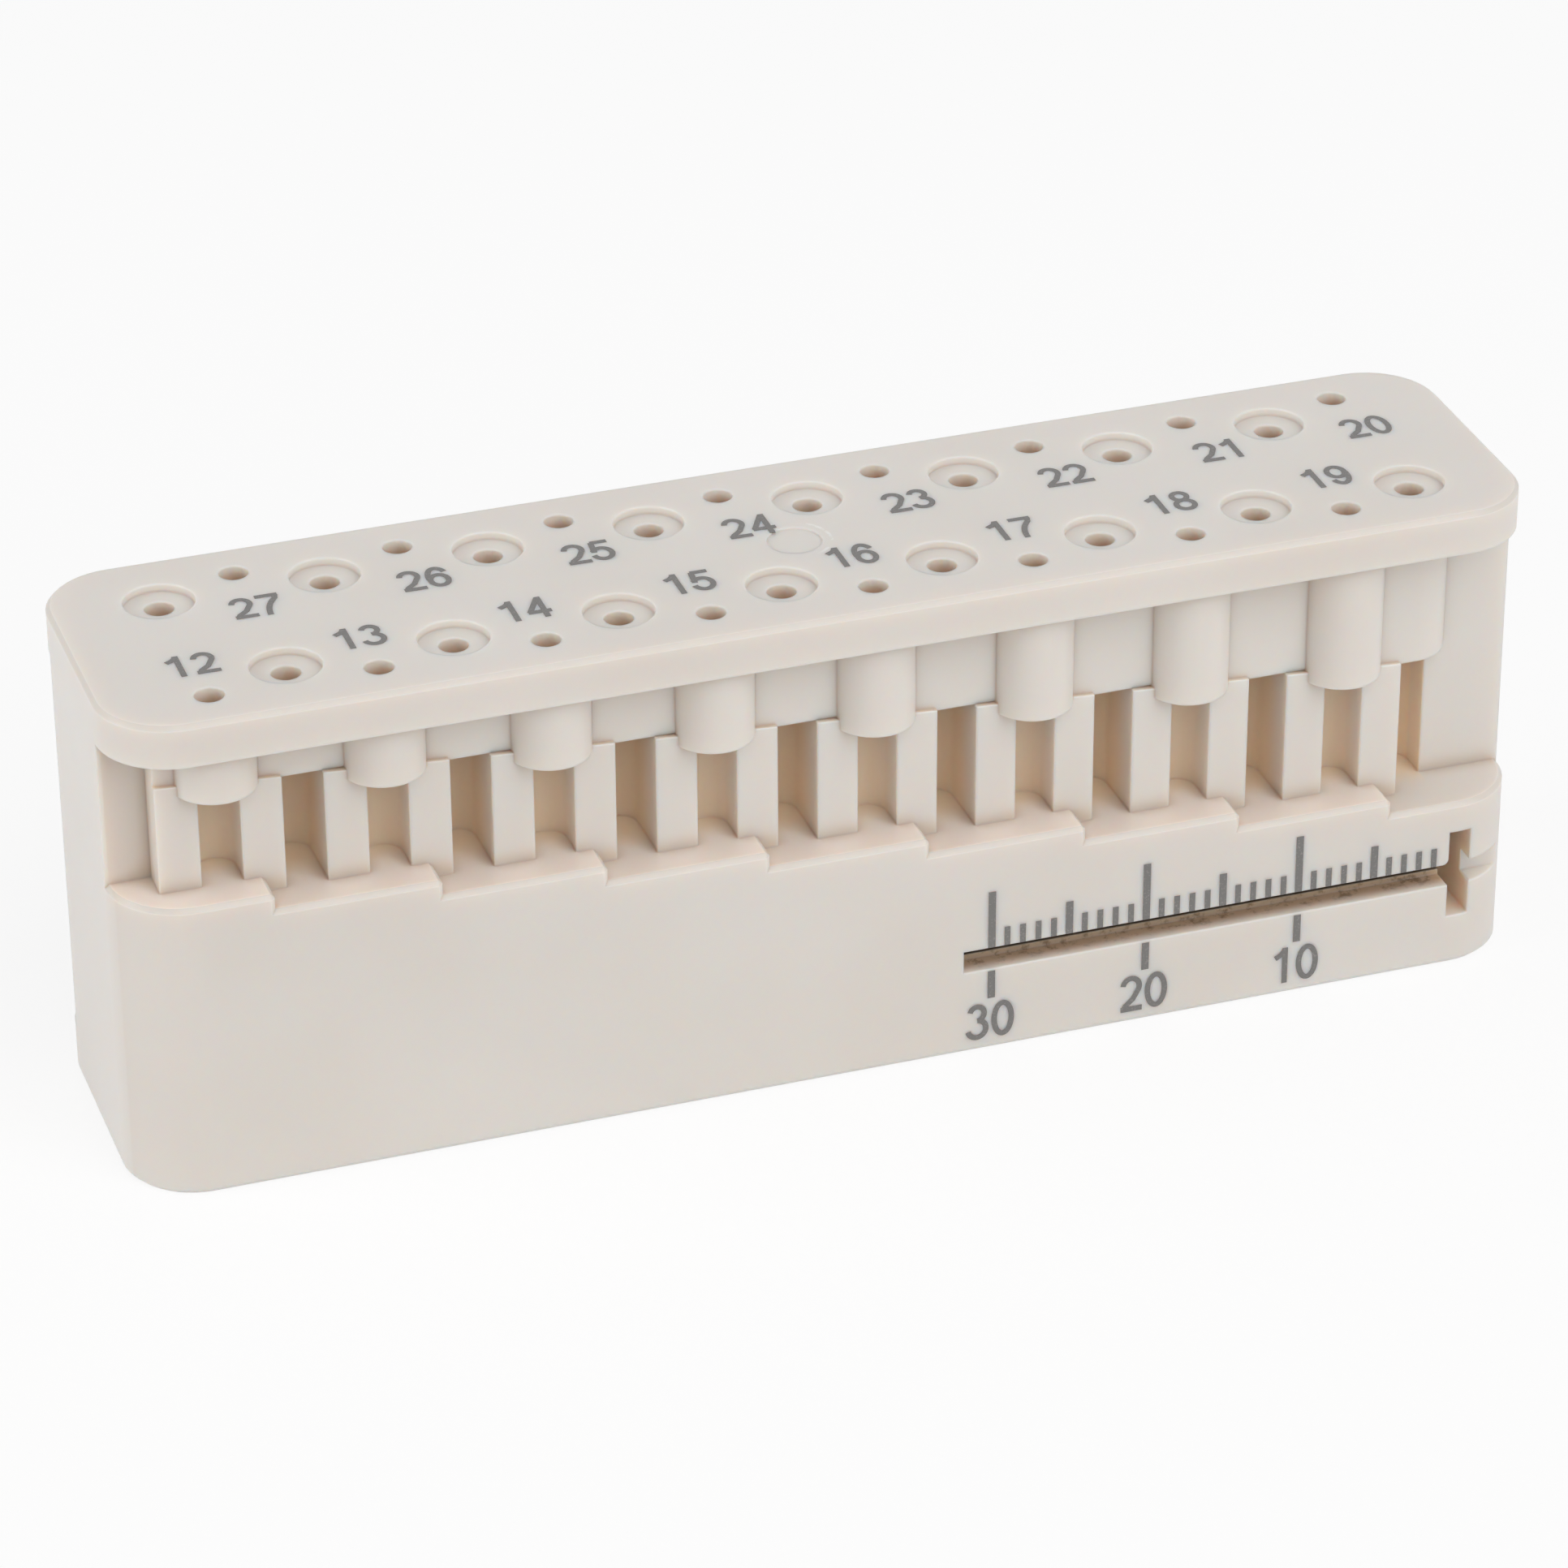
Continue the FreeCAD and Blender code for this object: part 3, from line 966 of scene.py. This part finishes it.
@dataclass
class HoleNumbers:
    """The numbers beside the holes on the top: 12 to 19 in front, 20 to 27 behind."""

    first: int = 12
    front_places: tuple[float, ...] = (-37.62, -27.62, -17.67, -7.56, 2.54, 12.67, 22.83, 33.00)
    back_places: tuple[float, ...] = (37.97, 28.29, 18.18, 8.10, -2.00, -12.00, -22.11, -32.27)
    front_line: tuple[float, float] = (-2.98, 0.0054)
    back_line: tuple[float, float] = (2.60, 0.0025)
    height: float = 2.51
    figure_pitch: float = 1.62
    stretch: float = 0.92

    def centres(self) -> list[tuple[float, float]]:
        """The middles of the numbers: places along X, on lines that lean a little."""
        rows = ((self.front_places, self.front_line), (self.back_places, self.back_line))
        return [(x, level + lean * x) for places, (level, lean) in rows for x in places]

    def build(self, top: PrintFace, material: bpy.types.Material) -> list[bpy.types.Object]:
        """Make one piece of ink for each number.

        Args:
            top: The face that carries them.
            material: The ink.

        Returns:
            The pieces.
        """
        pieces = []
        for count, centre in enumerate(self.centres(), self.first):
            number = PrintedNumber(
                str(count), centre, self.height, self.figure_pitch, self.stretch, top
            )
            pieces.append(number.build(f"number_{count}", material))
        return pieces


@dataclass
class RulerScale:
    """The scale over the groove: a mark for each millimetre, longer at fives and tens."""

    zero: float = 39.0
    reach: int = 30
    foot: float = HEIGHT - 24.25
    short_top: float = HEIGHT - 22.97
    mid_top: float = HEIGHT - 22.0
    long_top: float = HEIGHT - 20.35
    short_width: float = 0.37
    long_width: float = 0.47
    tail_top: float = HEIGHT - 25.9
    tail_foot: float = HEIGHT - 27.8
    label_height: float = 2.52
    label_middle: float = HEIGHT - 29.37
    label_shift: float = -0.05
    figure_pitch: float = 1.62
    stretch: float = 0.92

    def marks(self) -> np.ndarray:
        """Every mark as (x, low, high, width), with x at the zero less the mark's number.

        Returns:
            One row for each mark, with the tails under the tens last.
        """
        number = np.arange(1, self.reach + 1)
        tens, fives = number % 10 == 0, number % 5 == 0
        high = np.where(tens, self.long_top, np.where(fives, self.mid_top, self.short_top))
        width = np.where(fives, self.long_width, self.short_width)
        above = np.column_stack([self.zero - number, np.full(len(number), self.foot), high, width])
        tails = above[tens].copy()
        tails[:, 1], tails[:, 2] = self.tail_foot, self.tail_top
        return np.vstack([above, tails])

    def build(self, front: PrintFace, material: bpy.types.Material) -> list[bpy.types.Object]:
        """Make the marks as one piece and each label as another.

        Args:
            front: The face that carries them.
            material: The ink.

        Returns:
            The pieces.
        """
        ink = Ink()
        points, faces = [], []
        for count, (x, low, high, width) in enumerate(self.marks()):
            rings, sides = ink.ribbon(line((x, low), (x, high)), False, width, 0)
            points.append(rings)
            faces.append(sides + count * len(rings))
        places = front.place(np.vstack(points))
        pieces = [mesh_piece("scale_marks", places, np.vstack(faces), material)]
        for tens in range(10, self.reach + 1, 10):
            centre = (self.zero - tens + self.label_shift, self.label_middle)
            label = PrintedNumber(
                str(tens), centre, self.label_height, self.figure_pitch, self.stretch, front
            )
            pieces.append(label.build(f"scale_{tens}", material))
        return pieces


# The block


@dataclass
class MeasuringBlock:
    """The moulded block with its print."""

    node: str = "measuring_block"
    body: str = "root"
    plastic_slot: str = "body"
    ink_slot: str = "ink"

    def dress(self) -> None:
        """Give the moulding its plastic."""
        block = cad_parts[self.node]
        plastic = IvoryPlastic().make()
        for slot in block.material_slots:
            slot.material = plastic
        LOG.info("%s wears %s", self.node, plastic.name)

    def print_on(self) -> None:
        """Print the numbers on the top and the ruler on the front."""
        ink = GreyInk().make()
        top = PrintFace(Side.TOP, HEIGHT)
        front = PrintFace(Side.FRONT, FRONT)
        pieces = HoleNumbers().build(top, ink) + RulerScale().build(front, ink)
        for piece in pieces:
            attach(piece, self.body)
            LOG.info("%s rides on %s", piece.name, self.body)


# Studio


@dataclass(frozen=True)
class Lamp:
    """One soft lamp: where it stands as seen from the block, its size and its power."""

    name: str
    azimuth: float
    elevation: float
    distance: float
    size: float
    power: float

    def build(self, aim: Vector) -> None:
        """Hang the lamp and turn it to the aim.

        Args:
            aim: The point that it lights, in metres.
        """
        around, above = math.radians(self.azimuth), math.radians(self.elevation)
        flat = math.cos(above)
        toward = Vector((math.sin(around) * flat, -math.cos(around) * flat, math.sin(above)))
        light = bpy.data.lights.new(self.name, "AREA")
        light.shape = "DISK"
        light.size = self.size
        light.energy = self.power
        lamp = bpy.data.objects.new(self.name, light)
        lamp.location = aim + toward * self.distance
        lamp.rotation_euler = toward.to_track_quat("Z", "Y").to_euler()
        bpy.context.scene.collection.objects.link(lamp)


@dataclass
class Studio:
    """Pale floor, white surroundings and soft lamps."""

    floor_half: float = 6.0
    lamps: tuple[Lamp, ...] = (
        Lamp("key", 20, 43, 0.9, 1.00, 4.8),
        Lamp("left", -94, 22, 0.9, 0.60, 2.6),
        Lamp("back", 120, 75, 1.0, 0.60, 0.3),
    )

    def build(self) -> None:
        """Lay the floor, set the surroundings and hang the lamps."""
        half = self.floor_half / MM
        corners = np.array([[-half, -half, 0], [half, -half, 0], [half, half, 0], [-half, half, 0]])
        floor = mesh_piece("studio_floor", corners, np.array([[0, 1, 2, 3]]), StudioFloor().make())
        bpy.context.scene.world = StudioSky().make()
        bpy.context.scene.view_settings.view_transform = "Standard"
        low, high = CAD_BOX
        for lamp in self.lamps:
            lamp.build((Vector(low) + Vector(high)) / 2)


@dataclass
class PhotoCamera:
    """The camera, as fitted to the holes and the ruler: place in millimetres, turns in radians."""

    eye: tuple[float, float, float] = (-106.352, -314.888, HEIGHT + 172.741)
    heading: float = -0.32357
    dip: float = -0.51795
    roll: float = -0.00652
    focal_pixels: float = 7768.705
    sensor: float = 36.0
    clip: Band = (0.01, 20.0)

    def build(self) -> None:
        """Make the camera and look through it."""
        data = bpy.data.cameras.new("photo_camera")
        data.sensor_width = self.sensor
        data.lens = self.focal_pixels * self.sensor / IMAGE_WIDTH
        data.clip_start, data.clip_end = self.clip
        camera = bpy.data.objects.new("photo_camera", data)
        turn = (
            Matrix.Rotation(self.heading, 4, "Z")
            @ Matrix.Rotation(math.pi / 2 + self.dip, 4, "X")
            @ Matrix.Rotation(self.roll, 4, "Z")
        )
        camera.matrix_world = Matrix.Translation(Vector(self.eye) * MM) @ turn
        bpy.context.scene.collection.objects.link(camera)
        bpy.context.scene.camera = camera


def main() -> None:
    """Dress the block, print it, and set up the studio and the camera."""
    logging.basicConfig(level=logging.INFO, format="%(name)s: %(message)s")
    block = MeasuringBlock()
    block.dress()
    block.print_on()
    Studio().build()
    PhotoCamera().build()


if __name__ == "__main__":
    main()
